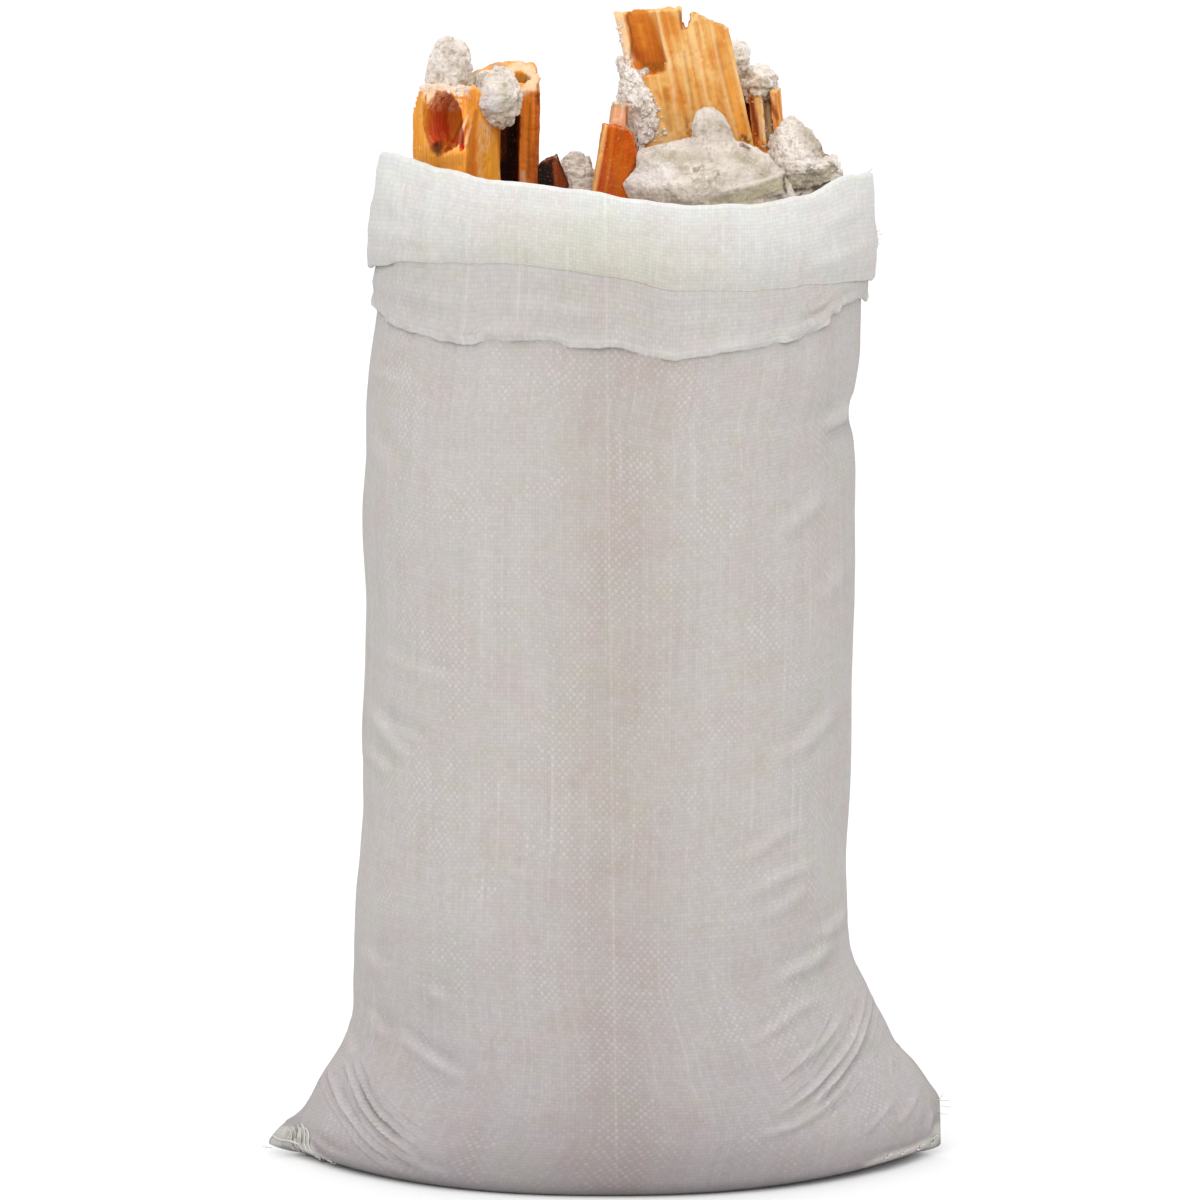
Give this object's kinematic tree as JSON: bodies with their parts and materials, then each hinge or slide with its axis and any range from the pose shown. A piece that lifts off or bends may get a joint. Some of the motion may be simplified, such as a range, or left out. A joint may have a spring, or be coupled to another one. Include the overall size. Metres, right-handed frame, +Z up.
{
  "type": "full rubble sack",
  "caption": "Upright woven plastic rubble sack, mouth turned out in a double cuff, full of broken hollow brick and mortar that stands out of the top.",
  "frame": {"origin": "middle of the footprint, on the floor", "axes": "+Z up along the sack's height, -Y the front, X along the bottom seam"},
  "size_m": [0.544, 0.302, 0.9251],
  "materials": {
    "woven_cloth": "plain weave of flat white polypropylene tape, slightly dusty",
    "sewing_thread": "white twisted thread",
    "fired_clay": "matt orange fired clay, grooved faces and rough broken faces",
    "dark_clay": "matt dark red-brown fired clay",
    "pale_clay": "matt pink fired clay",
    "mortar": "rough grey-white cement mortar",
    "plaster": "rough pale cream plaster"
  },
  "bodies": {
    "root": {"woven_sack": "woven_cloth", "seam_thread_left": "sewing_thread", "seam_thread_right": "sewing_thread", "hollow_brick_front_left": "fired_clay", "hollow_brick_back_left": "fired_clay", "hollow_brick_back_right": "fired_clay", "grooved_brick_large": "fired_clay", "brick_shard_tilted": "fired_clay", "brick_shard_dark": "dark_clay", "brick_nub": "pale_clay", "mortar_lump_left_top": "mortar", "mortar_lump_left_middle": "mortar", "mortar_lump_middle": "mortar", "mortar_bed_on_large_brick": "mortar", "mortar_lump_right_back": "mortar", "mortar_slab_right": "mortar", "plaster_lump_front": "plaster", "rubble_fill": "mortar"}
  },
  "joints": []
}
